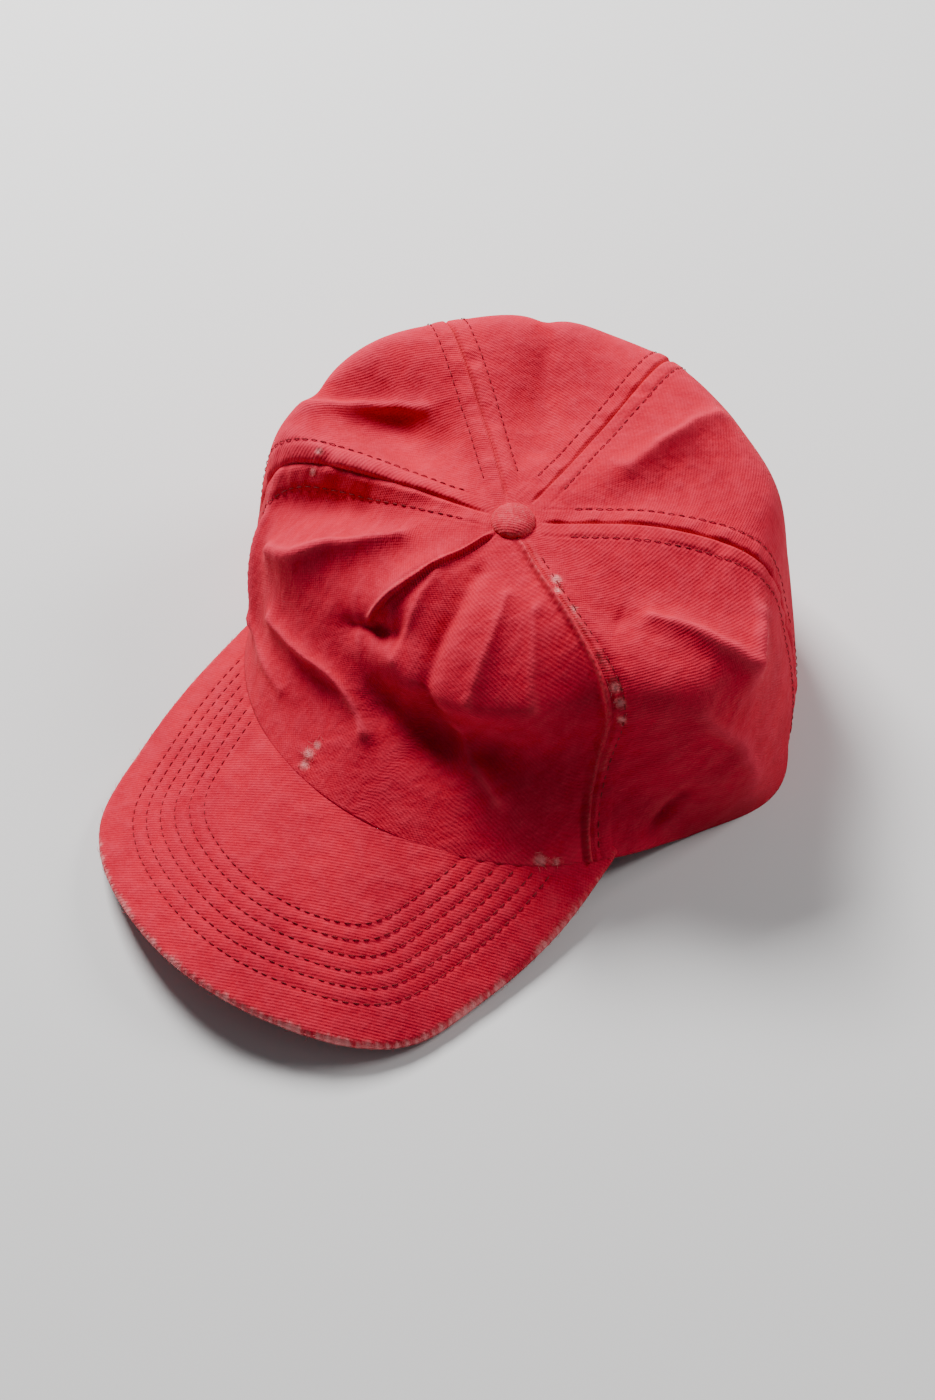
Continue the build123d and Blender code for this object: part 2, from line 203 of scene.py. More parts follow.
# Folds: a line of places, how far the cloth stands out of the slumped shape there, the width, and how round
# the crest is. A small roundness makes a sharp fold. Left and right are the wearer's.
FOLDS = (
    ("right pillow crest", ((-88, -3, 80), (-74, 9, 81), (-54, 23, 79)), 5.5, 6, 0.8),
    ("right hollow", ((-87, 5, 70), (-68, 15, 70), (-42, 14, 73)), -4.8, 10, 5.0),
    ("right front seam", ((-84, -12, 73), (-64, -14, 79), (-30, -8, 80)), 2.5, 8, 2.0),
    ("front right hollow", ((-78, -24, 56), (-62, -24, 61), (-46, -19, 68)), -4.0, 9, 4.0),
    ("front right crease", ((-66, -43, 56), (-55, -44, 60), (-42, -36, 66), (-22, -22, 76)), 6.5, 6, 0.7),
    ("dart lift", ((-9, -25, 77), (-16, -40, 73), (-21, -55, 66)), 3.0, 6, 1.2),
    ("dart dent", ((-24, -50, 57), (-8, -46, 60)), -8.0, 8, 3.0),
    ("front shoulder", ((8, -60, 60), (24, -58, 58), (40, -45, 60), (52, -34, 61)), 2.0, 9, 4.0),
    ("hill ridge one", ((-7, -30, 76), (-6, -44, 71), (-4, -58, 60)), 2.0, 3.5, 0.8),
    ("hill ridge two", ((16, -24, 77), (21, -40, 71), (25, -56, 60)), 2.4, 3.5, 0.8),
    ("hill ridge three", ((26, -22, 76), (34, -34, 70), (42, -44, 60)), 2.0, 3.2, 0.8),
    ("notch", ((3, -22, 77), (5, -38, 72), (8, -52, 63), (14, -62, 50)), -4.5, 5, 2.0),
    ("front dent", ((-2, -62, 46), (16, -64, 44), (36, -56, 42)), -6.0, 11, 5.0),
    ("front crease", ((-56, -60, 44), (-36, -58, 42), (-21, -60, 41), (-10, -65, 37), (-2, -70, 30)), 5.5, 5, 0.7),
    ("low crease", ((-72, -48, 30), (-52, -64, 30), (-34, -74, 32)), 2.0, 4, 0.8),
    ("front wall ridge", ((22, -57, 48), (32, -60, 38), (44, -63, 27)), 4.0, 6, 1.0),
    ("right wall line", ((-84, -30, 62), (-72, -46, 41), (-64, -57, 28)), 4.0, 5, 0.7),
    ("side ridge", ((55, -1, 74), (71, 4, 70), (88, 9, 66)), 6.0, 7, 0.9),
    ("side dimple", ((45, -8, 73), (52, -6, 73)), -2.8, 7, 3.0),
    ("side corner", ((88, 9, 66), (79, 27, 70)), 4.5, 6, 1.0),
    ("side fall", ((80, -8, 58), (90, 0, 40), (96, 4, 20)), 2.5, 7, 1.5),
    ("back ridge", ((17, 38, 83), (28, 79, 81)), 5.0, 8, 1.0),
    ("back valley", ((-14, 33, 78), (-32, 58, 78), (-44, 75, 82)), -4.0, 8, 3.0),
    ("heel crease", ((80, -30, 7), (88, -17, 25)), -3.5, 4, 1.2),
)

ROWS, COLUMNS = 320, 720
TOP = BUTTON_SEAT + 0.4


def slumped_crown():
    """Grid of places on the slumped crown, from the button out to the rim and round from -180 degrees."""
    azimuth = np.linspace(-180, 180, COLUMNS, endpoint=False)
    keys = [s[0] for s in STATIONS]
    hoops = np.array([s[1:] for s in STATIONS], float)
    keys = [keys[-1] - 360] + keys + [keys[0] + 360, keys[1] + 360]
    hoops = np.concatenate([hoops[-1:], hoops, hoops[:2]])
    turned = (azimuth - keys[1]) % 360 + keys[1]
    at_hoops = blend_through(keys, hoops, turned)
    rim = rim_reach(azimuth)
    rim_x, rim_y = place(azimuth, rim)
    rim_z = rim_height(rim_x, rim_y)
    grid = np.zeros((ROWS, COLUMNS, 3))
    share = np.linspace(0, 1, ROWS)
    for j in range(COLUMNS):
        points = np.vstack([[0, TOP], [12, TOP - 0.3], at_hoops[j], [rim[j], rim_z[j]]])
        chord = length_along(points)
        fine = blend_through(chord, points, np.linspace(0, chord[-1], 400))
        run = length_along(fine)
        reach = np.interp(share * run[-1], run, fine[:, 0])
        height = np.interp(share * run[-1], run, fine[:, 1])
        x, y = place(azimuth[j], reach)
        grid[:, j] = np.stack([x, y, height], axis=-1)
    return grid


def grid_normals(grid, closed):
    """Outward normals of a grid whose rows run outwards and whose columns run from the front to +X."""
    down = np.gradient(grid, axis=0)
    if closed:
        side = np.roll(grid, -1, axis=1) - np.roll(grid, 1, axis=1)
    else:
        side = np.gradient(grid, axis=1)
    normal = np.cross(down, side)
    normal[0] = normal[1]
    return unit(normal)


def folded_crown():
    grid = slumped_crown()
    normal = grid_normals(grid, closed=True)
    share = np.linspace(0, 1, ROWS)[:, None]
    free = smooth(share / 0.1) * smooth((1 - share) / 0.08)
    out = np.zeros(grid.shape[:2])
    cloth = grid[::3, ::3].reshape(-1, 3)
    for _, line, stands, width, roundness in FOLDS:
        line = blend_through(range(len(line)), line, np.linspace(0, len(line) - 1, 5 * len(line)))
        nearest = [cloth[np.argmin(((cloth - spot) ** 2).sum(1))] for spot in line]
        distance, along = line_distance(grid, rounded_line(np.array(nearest), 3.0)[::8])
        crest = np.exp(-(np.sqrt(distance**2 + roundness**2) - roundness) / width * 1.6)
        out += stands * crest * (0.55 + 0.45 * np.sin(np.pi * np.clip(along, 0.1, 0.9)))
    return grid + normal * (out * free)[..., None]


CROWN = folded_crown()
CROWN_OUT = grid_normals(CROWN, closed=True)


def crest_map(reach_rows, reach_columns):
    """How sharply the cloth bends outwards: worn crests are above 0 and hollows, painted darker as shade, below
    it.
    """
    around = np.roll(CROWN, reach_columns, axis=1) + np.roll(CROWN, -reach_columns, axis=1)
    padded = np.pad(CROWN, ((reach_rows, reach_rows), (0, 0), (0, 0)), mode="edge")
    along = padded[: -2 * reach_rows] + padded[2 * reach_rows :]
    bend = -(((around + along) / 4 - CROWN) * CROWN_OUT).sum(-1)
    bend[:reach_rows] = bend[-reach_rows:] = 0
    return bend[..., None]


CREST_WEAR_AND_HOLLOW_SHADE = crest_map(8, 6)


def read_grid(field, azimuth, share):
    """Values of a crown grid at azimuths and shares of the way from the button to the rim."""
    column = ((np.asarray(azimuth, float) + 180) % 360) * COLUMNS / 360
    row = np.clip(np.asarray(share, float), 0, 1) * (ROWS - 1)
    j, i = np.floor(column).astype(int), np.minimum(np.floor(row).astype(int), ROWS - 2)
    u, v = (column - j)[..., None], (row - i)[..., None]
    k = (j + 1) % COLUMNS
    j = j % COLUMNS
    upper = field[i, j] * (1 - u) + field[i, k] * u
    return upper * (1 - v) + (field[i + 1, j] * (1 - u) + field[i + 1, k] * u) * v


def crown_at(azimuth, share):
    """Places on the folded crown."""
    return read_grid(CROWN, azimuth, share)


def crown_outward(azimuth, share):
    """Outward directions of the folded crown."""
    return unit(read_grid(CROWN_OUT, azimuth, share))


# --- Meshes ----------------------------------------------------------------------------------------------
def add_mesh(name, points, faces, flat=None, marks=None):
    """Mesh object from places in mm. flat holds each vertex's place on the flat cloth, in mm."""
    mesh = bpy.data.meshes.new(name)
    placed = (np.asarray(points, float) + (0, CROWN_Y, 0)) * MM
    placed[:, 2] = np.maximum(placed[:, 2], 0)
    mesh.from_pydata(placed.tolist(), [], [list(map(int, f)) for f in faces])
    if flat is not None:
        layer = mesh.uv_layers.new(name="cloth")
        corner = np.empty(len(mesh.loops), dtype=np.int32)
        mesh.loops.foreach_get("vertex_index", corner)
        layer.data.foreach_set("uv", np.asarray(flat, np.float32)[corner].ravel())
    for mark, values in (marks or {}).items():
        attribute = mesh.attributes.new(mark, "FLOAT", "POINT")
        attribute.data.foreach_set("value", np.asarray(values, np.float32).ravel())
    mesh.polygons.foreach_set("use_smooth", [True] * len(mesh.polygons))
    mesh.update()
    piece = bpy.data.objects.new(name, mesh)
    bpy.context.scene.collection.objects.link(piece)
    return piece


def cloth_sheet(name, grid, thick, flat, marks=None, outward=None):
    """Closed sheet of cloth from a grid of places on its outer face, with thickness inwards."""
    rows, columns = grid.shape[:2]
    normal = grid_normals(grid, closed=False) if outward is None else outward
    inner = grid - normal * thick
    points = np.concatenate([grid.reshape(-1, 3), inner.reshape(-1, 3)])
    index = np.arange(rows * columns).reshape(rows, columns)
    a, b, c, d = index[:-1, :-1], index[:-1, 1:], index[1:, 1:], index[1:, :-1]
    top = np.stack([a, d, c, b], -1).reshape(-1, 4)
    low = np.stack([a, b, c, d], -1).reshape(-1, 4) + rows * columns
    edge = np.concatenate([index[0, :], index[1:, -1], index[-1, -2::-1], index[-2:0:-1, 0]])
    after = np.roll(edge, -1)
    wall = np.stack([edge, after, after + rows * columns, edge + rows * columns], -1)
    both = {k: np.concatenate([np.ravel(v), np.ravel(v)]) for k, v in (marks or {}).items()}
    faces = np.concatenate([top, low, wall])
    return add_mesh(name, points, faces, np.concatenate([flat.reshape(-1, 2)] * 2), both)


# --- Materials -------------------------------------------------------------------------------------------
def linear(code):
    """Linear colour of an sRGB hex value."""
    parts = [int(code[i : i + 2], 16) / 255 for i in (1, 3, 5)]
    return tuple(p / 12.92 if p <= 0.04045 else ((p + 0.055) / 1.055) ** 2.4 for p in parts) + (1.0,)


def add_node(tree, kind, settings=None, links=None):
    """Adds a node. Settings with a leading dot are the node's own, and the rest are values of its sockets."""
    made = tree.nodes.new("ShaderNode" + kind)
    for key, value in (settings or {}).items():
        if isinstance(key, str) and key.startswith("."):
            setattr(made, key[1:], value)
        else:
            made.inputs[key].default_value = value
    for key, source in (links or {}).items():
        tree.links.new(source, made.inputs[key])
    return made


def new_material(name):
    material = bpy.data.materials.new(name)
    material.use_nodes = True
    material.node_tree.nodes.clear()
    return material, material.node_tree


def finish_material(tree, settings, links):
    shader = add_node(tree, "BsdfPrincipled", settings, links)
    add_node(tree, "OutputMaterial", {}, {"Surface": shader.outputs["BSDF"]})


def mix(tree, factor, first, second, blend="MIX"):
    """Colour mix: factor, first and second are each a value or another node's output."""
    made = add_node(tree, "Mix", {".data_type": "RGBA", ".blend_type": blend})
    for index, given in ((0, factor), (6, first), (7, second)):
        if isinstance(given, bpy.types.NodeSocket):
            tree.links.new(given, made.inputs[index])
        else:
            made.inputs[index].default_value = given
    return made.outputs[2]


def stretch(tree, source, low, high, to_low=0.0, to_high=1.0):
    return add_node(
        tree,
        "MapRange",
        {"From Min": low, "From Max": high, "To Min": to_low, "To Max": to_high},
        {"Value": source},
    ).outputs["Result"]


TWILL_RIB = 0.95
TWILL_ANGLE = 62.0
BAND_SCALE = 0.314  # scale of a wave texture whose bands are one unit apart


def bands(tree, where, apart, **shape):
    """Bands this many millimetres apart on the flat cloth."""
    settings = {"Scale": BAND_SCALE / apart}
    settings.update({key.replace("_", " "): value for key, value in shape.items()})
    return add_node(tree, "TexWave", settings, {"Vector": where}).outputs["Fac"]


def turned_cloth(tree, flat, degrees):
    return add_node(tree, "Mapping", {"Rotation": (0, 0, math.radians(degrees))}, {"Vector": flat}).outputs[0]


def patches(tree, where, scale, detail, roughness, **more):
    """Soft random patches, 0 to 1."""
    settings = {"Scale": scale, "Detail": detail, "Roughness": roughness, **more}
    return add_node(tree, "TexNoise", settings, {"Vector": where}).outputs["Fac"]


def washed_twill(name, ground, deep, faded):
    """Cotton twill, yarn-dyed red on the outside of white-cored yarn, then stone washed and tumbled.

    It has no shine, only the soft edge light of loose fibres. The diagonal ribs are drawn coarser than on most
    cap twill, so that they show. Dye is lost in clouds, and where folds and seams rub. The hollows of the folds
    are painted darker, as shade.
    """
    material, tree = new_material(name)
    flat = add_node(tree, "UVMap", {".uv_map": "cloth"}).outputs["UV"]
    diagonal = turned_cloth(tree, flat, TWILL_ANGLE)
    across = turned_cloth(tree, flat, TWILL_ANGLE + 74)
    ribs = bands(tree, diagonal, TWILL_RIB, Distortion=0.6, Detail=2.0, Detail_Scale=1.2)
    yarns = bands(tree, across, TWILL_RIB * 0.62, Distortion=1.2, Detail=2.0, Detail_Scale=2.0)
    clouds = patches(tree, flat, 0.035, 5.0, 0.62)
    blotch = patches(tree, flat, 0.16, 4.0, 0.6)
    slub = patches(tree, flat, 1.1, 3.0, 0.75)
    fuzz = patches(tree, flat, 3.2, 2.0, 0.7)
    worn = add_node(tree, "Attribute", {".attribute_name": "wear"}).outputs["Fac"]
    crest = add_node(tree, "Attribute", {".attribute_name": "crest"}).outputs["Fac"]
    deep, faded = linear(deep), linear(faded)
    colour = mix(tree, stretch(tree, clouds, 0.36, 0.66, 0.45, 1.0), deep, linear(ground))
    colour = mix(tree, stretch(tree, blotch, 0.42, 0.75, 0.0, 0.35), colour, faded)
    colour = mix(tree, stretch(tree, slub, 0.45, 0.8, 0.0, 0.42), colour, faded)
    colour = mix(tree, stretch(tree, ribs, 0.0, 0.7, 0.2, 0.0), colour, deep)
    colour = mix(tree, stretch(tree, crest, 0.05, 0.9, 0.0, 0.45), colour, faded)
    # Painted shade: the hollows of the folds are darkened towards the deep red.
    colour = mix(tree, stretch(tree, crest, -0.1, -0.9, 0.0, 0.5), colour, deep)
    broken = patches(tree, flat, 0.85, 5.0, 0.8, Distortion=0.8)
    ragged = stretch(tree, broken, 0.3, 0.7, -0.55, 0.35)
    bare = add_node(tree, "Math", {".operation": "ADD"}, {0: worn, 1: ragged}).outputs[0]
    bare = stretch(tree, bare, 0.0, 0.45, 0.1, 1.2)
    rubbed = add_node(tree, "Math", {".operation": "MULTIPLY"}, {0: worn, 1: bare}).outputs[0]
    colour = mix(tree, rubbed, colour, linear("#E88A8C"))
    height = stretch(tree, yarns, 0, 1, 0, 0.3)
    for grain, share in ((ribs, 0.6), (fuzz, 0.55)):
        settings = {".operation": "MULTIPLY_ADD", 1: share}
        height = add_node(tree, "Math", settings, {0: grain, 2: height}).outputs[0]
    bump = add_node(tree, "Bump", {"Strength": 0.5, "Distance": 0.00028}, {"Height": height}).outputs[0]
    rumple = add_node(tree, "Bump", {"Strength": 0.5, "Distance": 0.0016}, {"Height": blotch, "Normal": bump})
    settings = {
        "Roughness": 0.92,
        "Specular IOR Level": 0.1,
        "Sheen Weight": 0.06,
        "Sheen Roughness": 0.45,
        "Sheen Tint": linear("#F3B7AE"),
    }
    finish_material(tree, settings, {"Base Color": colour, "Normal": rumple.outputs[0]})
    return material


def spun_thread(name, ground, deep):
    """Spun thread of two twisted plies, with a dull gleam."""
    material, tree = new_material(name)
    flat = add_node(tree, "UVMap", {".uv_map": "cloth"}).outputs["UV"]
    ply = bands(tree, turned_cloth(tree, flat, 55), 0.45, Distortion=0.4)
    slub = add_node(tree, "TexNoise", {"Scale": 0.3, "Detail": 3.0}, {"Vector": flat}).outputs["Fac"]
    colour = mix(tree, ply, linear(deep), linear(ground))
    colour = mix(tree, stretch(tree, slub, 0.4, 0.7, 0, 0.6), colour, linear(deep))
    bump = add_node(tree, "Bump", {"Strength": 0.6, "Distance": 0.0001}, {"Height": ply})
    settings = {"Roughness": 0.7, "Specular IOR Level": 0.3}
    finish_material(tree, settings, {"Base Color": colour, "Normal": bump.outputs[0]})
    return material


def woven_tape(name, ground, deep, rib=0.9):
    """Plain woven cotton tape: fine ribs straight across, flat and dry."""
    material, tree = new_material(name)
    flat = add_node(tree, "UVMap", {".uv_map": "cloth"}).outputs["UV"]
    ribs = bands(tree, turned_cloth(tree, flat, 90), rib, Distortion=0.3)
    warp = bands(tree, flat, rib * 0.7, Distortion=0.3)
    slub = patches(tree, flat, 0.25, 5.0, 0.7)
    colour = mix(tree, stretch(tree, slub, 0.35, 0.7), linear(deep), linear(ground))
    height = add_node(tree, "Math", {".operation": "ADD"}, {0: ribs, 1: warp})
    bump = add_node(tree, "Bump", {"Strength": 0.7, "Distance": 0.0002}, {"Height": height.outputs[0]})
    settings = {"Roughness": 0.9, "Specular IOR Level": 0.2, "Sheen Weight": 0.2}
    finish_material(tree, settings, {"Base Color": colour, "Normal": bump.outputs[0]})
    return material


def metal(name, bright, dark, roughness):
    """Sheet metal, tumbled: bright where it is handled, dull and darker in its clouds of tarnish."""
    material, tree = new_material(name)
    where = add_node(tree, "TexCoord").outputs["Object"]
    clouds = patches(tree, where, 160.0, 6.0, 0.65)
    specks = add_node(tree, "TexNoise", {"Scale": 2600.0, "Detail": 2.0}, {"Vector": where}).outputs["Fac"]
    colour = mix(tree, stretch(tree, clouds, 0.36, 0.64), linear(dark), linear(bright))
    rough = stretch(tree, clouds, 0.3, 0.7, roughness + 0.18, roughness - 0.05)
    bump = add_node(tree, "Bump", {"Strength": 0.35, "Distance": 0.00006}, {"Height": specks})
    finish_material(
        tree, {"Metallic": 1.0}, {"Base Color": colour, "Roughness": rough, "Normal": bump.outputs[0]}
    )
    return material


def plastic_sheet(name, ground, dark):
    """Extruded polyethylene sheet, milky, with the fine orange peel of the rollers."""
    material, tree = new_material(name)
    where = add_node(tree, "TexCoord").outputs["Object"]
    peel = add_node(tree, "TexNoise", {"Scale": 900.0, "Detail": 3.0}, {"Vector": where}).outputs["Fac"]
    clouds = add_node(tree, "TexNoise", {"Scale": 40.0, "Detail": 4.0}, {"Vector": where}).outputs["Fac"]
    colour = mix(tree, stretch(tree, clouds, 0.4, 0.6), linear(dark), linear(ground))
    bump = add_node(tree, "Bump", {"Strength": 0.3, "Distance": 0.0001}, {"Height": peel})
    finish_material(tree, {"Roughness": 0.5, "IOR": 1.51}, {"Base Color": colour, "Normal": bump.outputs[0]})
    return material


TWILL = washed_twill("washed_red_twill", "#D21234", "#9E0828", "#E03C56")
UNDERSIDE = washed_twill("red_twill_inside", "#BE122C", "#8C0A20", "#CC3448")
THREAD = spun_thread("dark_red_thread", "#9C1426", "#6A0A18")
FIBRE = spun_thread("bare_cotton_fibre", "#E88C8E", "#CF4C56")
TAPE = woven_tape("red_cotton_tape", "#9C2630", "#6E1520")
LABEL = woven_tape("white_satin_label", "#E8E2D8", "#D5CCBF", rib=0.5)
BRASS = metal("antique_brass", "#B08A4A", "#6E5228", 0.36)
ALUMINIUM = metal("stamped_aluminium", "#C9CBCD", "#9DA0A3", 0.38)
BOARD = plastic_sheet("polyethylene_board", "#E4E1D8", "#D2CEC2")


def dress(piece, material, body, replaces=()):
    """Gives a piece its material, the body it moves with and the nodes that it stands for."""
    piece.data.materials.clear()
    piece.data.materials.append(material)
    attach(piece, body)
    if replaces:
        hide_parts(*replaces)
    return piece


# --- Crown panels ----------------------------------------------------------------------------------------
# Azimuth of each seam at the button and at the rim.
SEAM_LINES = {
    "back": (181, 180),
    "side_right": (-131, -121),
    "front_right": (-77, -68),
    "dart": (-12, -26),
    "front_left": (60, 56),
    "side_left": (127, 112),
}
PANELS = {
    "right_back_panel": ("back", "side_right"),
    "right_side_panel": ("side_right", "front_right"),
    "front_panel": ("front_right", "dart", "front_left"),
    "left_side_panel": ("front_left", "side_left"),
    "left_back_panel": ("side_left", "back"),
}
WELT = 7.0
STITCH_OFF = 5.8
DART_SHARE = 0.515
ARCH_HALF, ARCH_STRAIGHT, ARCH_TOP = 42.0, 10.0, 48.0


def seam_azimuth(seam, share):
    """The front left seam swings forward as it drops over the front's slump."""
    start, end = SEAM_LINES[seam]
    swing = {"front_left": 9.0, "front_right": -3.0, "dart": -3.0}.get(seam, 0.0)
    return start + (end - start) * share + swing * np.sin(np.pi * share) ** 2


def turn_between(first, last):
    return (last - first) % 360


def spread(width, close, close_step, far_step):
    """Places from 0 to 1 across a width, close together near both ends."""
    edge = np.arange(0, close, close_step)
    middle = np.linspace(close, width - close, int((width - 2 * close) / far_step) + 2)
    return np.concatenate([edge, middle, width - edge[::-1]]) / width


def soft_noise(place_along, period, seed):
    """Smooth repeatable noise along a line, about -1 to 1."""
    rng = np.random.default_rng(seed)
    knots = rng.uniform(-1, 1, 512)
    at = np.asarray(place_along) / period % 500
    i = np.floor(at).astype(int)
    t = smooth(at - i)
    return knots[i] * (1 - t) + knots[i + 1] * t


def seam_relief(distance, length, seed):
    """Height of the cloth beside a pressed-open seam: a welt, its puckers and the grooves."""
    d = np.abs(distance)
    welt = 0.38 * smooth((WELT + 0.8 - d) / 1.8)
    groove = -1.0 * near(d, 0.65)
    row = -0.42 * near(d - STITCH_OFF, 0.8)
    pucker = soft_noise(length, 4.2, seed) * 0.42 + soft_noise(length + 9, 2.3, seed + 1) * 0.2
    pucker = pucker * smooth((WELT + 3 - d) / 6) * smooth(d / 1.5) * (1 - 0.75 * near(d - STITCH_OFF, 1.2))
    return welt + groove + row + pucker


def front_seam_relief(distance, length):
    """The front left seam is lapped: the front panel's edge stands up as a cord beside a rubbed band."""
    cord = 1.7 * near(distance + 0.8, 0.9) - 0.9 * near(distance - 0.5, 0.5) - 0.5 * near(distance + 2.4, 1.0)
    band = 0.55 * smooth((distance + 0.2) / 0.6) * smooth((WELT + 0.8 - distance) / 1.8)
    row = -0.35 * near(distance - 2.9, 0.7)
    chew = soft_noise(length, 3.0, 71) * 0.35 * near(distance - 1.6, 1.6)
    pucker = soft_noise(length, 5.0, 72) * 0.25 * near(distance - 4, 4)
    return cord + band + row + chew + pucker


def dart_relief(distance, share):
    """A stitched fold: a thin lip leans over a groove, and both die away at the dart's end."""
    holds = smooth((DART_SHARE - share) / 0.03)
    lip = 1.5 * near(distance + 0.55, 0.75)
    return holds * (lip - 0.9 * near(distance - 0.7, 0.55) - 0.4 * near(distance - 2.6, 2.0))


# Small worn places: seam, share of its length, distance across it in mm, size in mm.
FRAYS = (
    ("front_left", 0.20, 3.0, 4.6),
    ("front_left", 0.235, 1.5, 3.6),
    ("front_left", 0.29, 2.6, 3.0),
    ("front_left", 0.50, 1.6, 4.2),
    ("front_left", 0.54, 2.0, 4.4),
    ("front_left", 0.585, 2.4, 4.0),
    ("front_right", 0.47, 2.0, 3.4),
    ("front_right", 0.44, -3.0, 3.0),
    ("dart", 0.935, 22.0, 5.0),
    ("dart", 0.965, 24.5, 4.4),
    ("dart", 0.90, 21.0, 3.6),
    ("front_left", 0.985, -17.0, 5.0),
    ("front_left", 0.99, -12.0, 3.4),
)


def fray_marks(grid):
    """Wear and roughness of the little holes and scuffs."""
    wear, lift = np.zeros(grid.shape[:2]), np.zeros(grid.shape[:2])
    for seam, share, across, size in FRAYS:
        azimuth = seam_azimuth(seam, share)
        at = crown_at(azimuth, share)
        reach = math.hypot(at[0], at[1])
        spot = crown_at(azimuth + math.degrees(across / reach), share)
        distance = np.linalg.norm(grid - spot, axis=-1)
        wear = np.maximum(wear, 0.8 * smooth((size * 0.75 - distance) / (size * 0.8)))
        tufts = np.sin(grid[..., 0] * 5.1 + 1) * np.sin(grid[..., 1] * 4.7 + grid[..., 2] * 3.9)
        lift += 0.55 * near(distance, size * 0.7) * tufts
    return wear, lift


def stop_at_arch(azimuth, share):
    """Shares of a back panel's rows, so that the lowest row follows the edge of the back arch."""
    half, high = ARCH_HALF, ARCH_TOP - ARCH_STRAIGHT
    steps = np.linspace(0.45, 1, 200)
    shares = np.repeat(share[:, None], len(azimuth), 1)
    held = share[:, None] < 0.55
    for j, a in enumerate(azimuth):
        column = read_grid(CROWN, np.full(200, a), steps)
        inside = np.abs(column[:, 0]) < half
        edge = ARCH_STRAIGHT + high * np.sqrt(np.clip(1 - (column[:, 0] / half) ** 2, 0, 1))
        open_here = inside & (column[:, 2] < edge)
        if open_here.any():
            stop = steps[np.argmax(open_here)]
            lower = 0.55 + (share - 0.55) * (stop - 0.55) / 0.45
            shares[:, j] = np.where(held[:, 0], share, lower)
    return shares


def rim_hem(length, full):
    """1 on the last few millimetres above the rim."""
    return smooth((length - full + 5) / 3)


def panel(name, seams):
    """One cut panel of the crown, with its seams, wear and frayed places."""
    share = np.linspace(0.03, 1, 150)
    lines = [seam_azimuth(seam, share) for seam in seams]
    azimuth, flat_turn = [lines[0][:, None]], turn_between(lines[0], lines[-1])
    for first, last in zip(lines, lines[1:]):
        turn = turn_between(first, last)
        wide = math.radians(turn[-1]) * 93
        across = spread(wide, 9, 0.65, 1.6)[1:]
        if "back_panel" in name:
            jamb = np.arange(38, 47, 0.35) / wide
            jamb = 1 - jamb if name.startswith("left") else jamb
            across = np.unique(np.round(np.concatenate([across, jamb]), 5))
        azimuth.append(first[:, None] + turn[:, None] * across)
    azimuth = np.concatenate(azimuth, axis=1)
    shares = np.repeat(share[:, None], azimuth.shape[1], 1)
    if "back_panel" in name:
        shares = stop_at_arch(azimuth[-1], share)
    grid = crown_at(azimuth, shares)
    reach = np.hypot(grid[..., 0], grid[..., 1])
    steps = np.linalg.norm(np.diff(grid, axis=0), axis=2)
    length = np.concatenate([np.zeros((1, azimuth.shape[1])), np.cumsum(steps, axis=0)])
    relief, wear = np.zeros(reach.shape), np.zeros(reach.shape)
    top_fade = smooth((length - 3) / 6)
    for i, seam in enumerate(seams):
        distance = reach * np.radians((azimuth - seam_azimuth(seam, share)[:, None] + 180) % 360 - 180)
        if seam == "front_left":
            relief += front_seam_relief(distance, length) * top_fade
            rub = (0.45 + 0.4 * soft_noise(length, 6.0, 33)) * (0.35 + 0.65 * near(shares - 0.42, 0.2))
            wear = np.maximum(wear, 0.6 * rub * near(distance - 1.5, 1.3))
            wear = np.maximum(wear, 0.22 * near(distance + 0.9, 0.7))
        elif seam == "dart":
            relief += dart_relief(distance, shares) * top_fade
            wear = np.maximum(wear, 0.2 * near(distance + 1.2, 0.8) * smooth((DART_SHARE - shares) / 0.03))
        else:
            relief += seam_relief(distance, length, 11 + 7 * i) * top_fade
            bumps = 0.5 + 0.5 * soft_noise(length, 4.2, 11 + 7 * i)
            wear = np.maximum(wear, 0.1 * bumps * smooth((WELT - np.abs(distance)) / 3))
    fray_wear, fray_lift = fray_marks(grid)
    relief += fray_lift
    wear = np.maximum(wear, fray_wear)
    hem = rim_hem(length, length[-1:])
    wear = np.maximum(wear, 0.06 * hem * (0.5 + 0.5 * soft_noise(azimuth, 3.0, 5)))
    out = crown_outward(azimuth, shares)
    surface = grid + out * relief[..., None]
    middle = lines[0][:, None] + flat_turn[:, None] / 2
    flat = np.stack([reach * np.radians(azimuth - middle), length], -1)
    # The crest mark pales worn crests and paints shade into the hollows of the folds.
    marks = {"wear": wear, "crest": read_grid(CREST_WEAR_AND_HOLLOW_SHADE, azimuth, shares)[..., 0]}
    made = cloth_sheet("crown_" + name, surface, CLOTH, flat, marks, outward=out)
    return dress(made, TWILL, "crown", [name])


# --- Stitches --------------------------------------------------------------------------------------------
STITCH_LONG, STITCH_GAP = 2.6, 0.75
THREAD_RADIUS = 0.19


